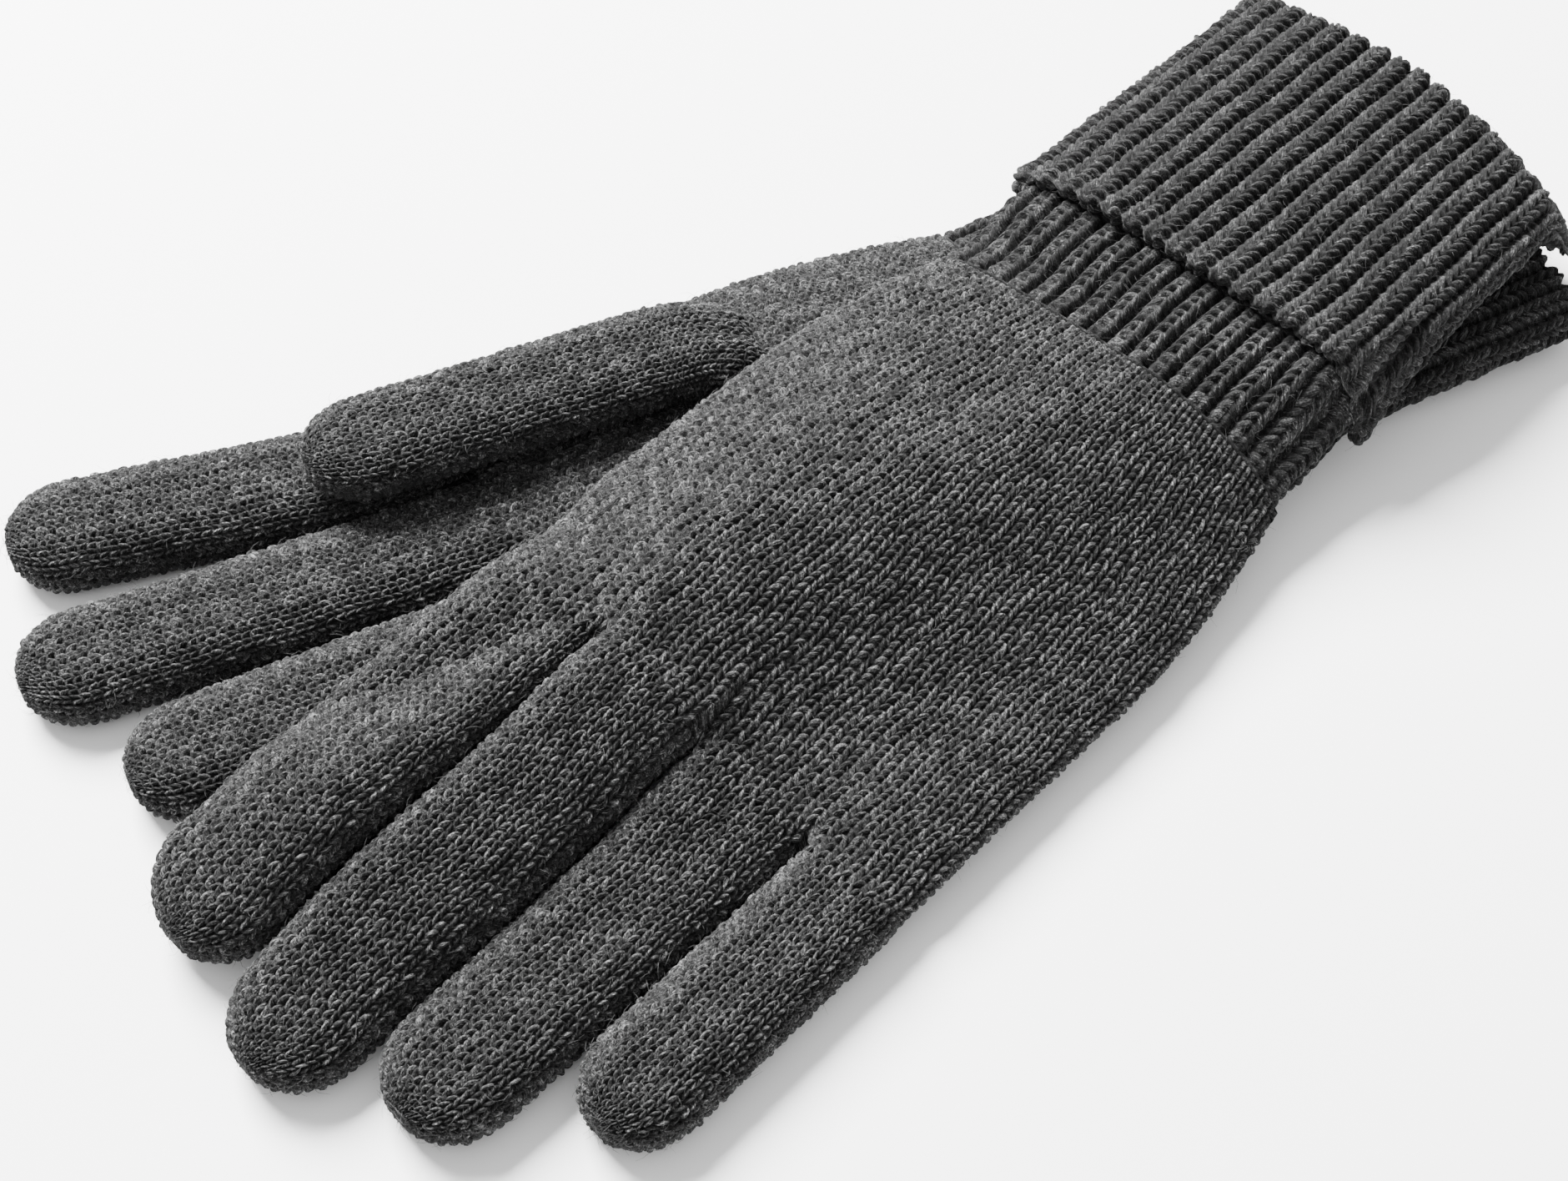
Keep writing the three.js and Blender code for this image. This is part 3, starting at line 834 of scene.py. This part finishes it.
detail = {
    "left": {"hand": ("fine", "coarse"), "finger": ("fine", "coarse"), "thumb": ("coarse", "coarse")},
    "right": {
        "hand": ("middling", "coarse"),
        "finger": ("middling", "coarse"),
        "thumb": ("fine", "coarse"),
    },
}
fuzz = {"hand": 4500, "finger": 1400, "thumb": 1400, "wrist": 1100, "cuff": 4200, "inner": 300}


def buildHand(side):
    course = plainKnit["course"]
    shape = handShape(side, course)
    ends = ("rim", "nested")
    piece = knitPiece(
        f"{side}_hand_knit", shape, plainKnit, handWales, handCourses, detail[side]["hand"], ends, seed=3
    )
    nodes, body = [f"{side}_hand"], f"{side}_glove"
    finishPiece(piece, nodes, plainWool, [body], fuzz=fuzz["hand"], seed=5)


def buildFinger(side, name, seed):
    size = fingers[name]
    length = size["length"] + fingerBuild["tip"] * (np.pi / 2 - 1)
    courses = round(length / plainKnit["course"])
    shape = fingerShape(side, name, length / courses)
    piece = knitPiece(
        f"{side}_{name}_knit", shape, plainKnit, fingerWales, courses, detail[side]["finger"],
        ("nested", "pole"), shift=waleShift(name), seed=seed,
    )
    glove = gloves[side]
    rootU, rootV, _ = fingerLine(glove, name, 0.0)
    x, y = fromGlove(glove, rootU, rootV)
    z = 5.2 + (float(laidHeight(x, y)) if glove["drapes"] else 0)
    bend = [onTable(side, rootU + reach, rootV, z) for reach in (-2, 16)]
    nodes = [f"{side}_{name}_finger", f"{side}_{name}_closure"]
    bodies = fingerBodies(side, name)
    finishPiece(piece, nodes, plainWool, bodies, bend, fuzz=fuzz["finger"], seed=seed)


def buildThumb(side):
    thumb = gloves[side]["thumb"]
    length = thumb["length"] + fingerBuild["tip"] * (np.pi / 2 - 1)
    straight = round(length / plainKnit["course"])
    courses = straight + thumbBuild["elbowCourses"]
    shape = thumbShape(side, length / straight)
    ends = ("rim", "pole")
    piece = knitPiece(
        f"{side}_thumb_knit", shape, plainKnit, fingerWales, courses, detail[side]["thumb"], ends, seed=9
    )
    palm = gloves[side]["palm"]
    start = onTable(side, thumb["u"] - 2, thumb["across"], palm)
    end = onTable(side, thumb["u"] + 3.7, thumb["across"], palm + 9.6)
    nodes = [f"{side}_thumb", f"{side}_thumb_closure"]
    bodies = fingerBodies(side, "thumb")
    finishPiece(piece, nodes, plainWool, bodies, (start, end), fuzz=fuzz["thumb"], seed=9)


ribs = 34
fineRibs = ("fine", "fine")


def buildRibs(side):
    body = f"{side}_glove"
    courses = wrist["courses"]
    shape = tubeShape(side, wrist, (wrist["end"] - wrist["start"]) / courses)
    rims = ("rim", "rim")
    piece = knitPiece(f"{side}_wrist_knit", shape, ribKnit, ribs, courses, fineRibs, rims, seed=13)
    finishPiece(piece, [f"{side}_wrist_rib"], ribWool, [body], fuzz=fuzz["wrist"], seed=13)
    courses = innerCuff["courses"]
    shape = tubeShape(side, innerCuff, (innerCuff["end"] - innerCuff["start"]) / courses)
    piece = knitPiece(f"{side}_inner_cuff_knit", shape, innerKnit, ribs, courses, fineRibs, rims, seed=15)
    finishPiece(piece, [f"{side}_cuff_inner"], ribWool, [body], fuzz=fuzz["inner"], seed=15)
    length = cuff["length"] - cuff["front"] + (cuff["foldRadius"] + cuff["edgeRadius"]) * (np.pi - 1)
    courses = round(length / ribKnit["course"])
    shape = cuffShape(side, length / courses)
    rolled = ("curl", "rim")
    piece = knitPiece(f"{side}_cuff_knit", shape, cuffKnit, ribs, courses, fineRibs, rolled, seed=17)
    nodes = [f"{side}_cuff_{part}" for part in ("turnback", "fold", "edge")]
    finishPiece(piece, nodes, ribWool, [f"{side}_cuff"], fuzz=fuzz["cuff"], seed=17)


for side in gloves:
    buildHand(side)
    for number, name in enumerate(fingers):
        buildFinger(side, name, 21 + number)
    buildThumb(side)
    buildRibs(side)
    print("knitted the", side, "glove")

# Matt white paper: it gives a soft, even ground, without gloss or colour.
floorMaterial, floorTree, floorShader = newMaterial("pale_paper")
floorShader.inputs["Base Color"].default_value = linear("#f4f4f4")
floorShader.inputs["Roughness"].default_value = 0.9
bpy.ops.mesh.primitive_plane_add(size=6)
floor = bpy.context.object
floor.name = "floor"
floor.data.materials.append(floorMaterial)

world = bpy.data.worlds.new("studio")
bpy.context.scene.world = world
world.use_nodes = True
world.node_tree.nodes["Background"].inputs["Color"].default_value = linear("#ffffff")
world.node_tree.nodes["Background"].inputs["Strength"].default_value = 1.2


def addLight(name, size, power, place, aim):
    light = bpy.data.lights.new(name, "AREA")
    light.size = size
    light.energy = power
    lamp = bpy.data.objects.new(name, light)
    lamp.location = place
    lamp.rotation_euler = (Vector(aim) - Vector(place)).to_track_quat("-Z", "Y").to_euler()
    bpy.context.scene.collection.objects.link(lamp)


aim = (0.0153, 0.0189, 0.0)
keyLight = {"size": 0.75, "power": 190, "place": (0.0, -0.97, 0.95)}
addLight("key", keyLight["size"], keyLight["power"], keyLight["place"], aim)
print("set the floor and the lights")

view = {"azimuth": 53.0, "elevation": 52.4, "distance": 0.3966, "lens": 52.57}
azimuth, elevation = math.radians(view["azimuth"]), math.radians(view["elevation"])
cameraData = bpy.data.cameras.new("camera")
cameraData.lens = view["lens"]
cameraData.sensor_width = 36
camera = bpy.data.objects.new("camera", cameraData)
reach = view["distance"] * math.cos(elevation)
camera.location = (
    aim[0] + reach * math.cos(azimuth),
    aim[1] + reach * math.sin(azimuth),
    aim[2] + view["distance"] * math.sin(elevation),
)
camera.rotation_euler = (Vector(aim) - camera.location).to_track_quat("-Z", "Y").to_euler()
bpy.context.scene.collection.objects.link(camera)
bpy.context.scene.camera = camera
print("placed the camera")
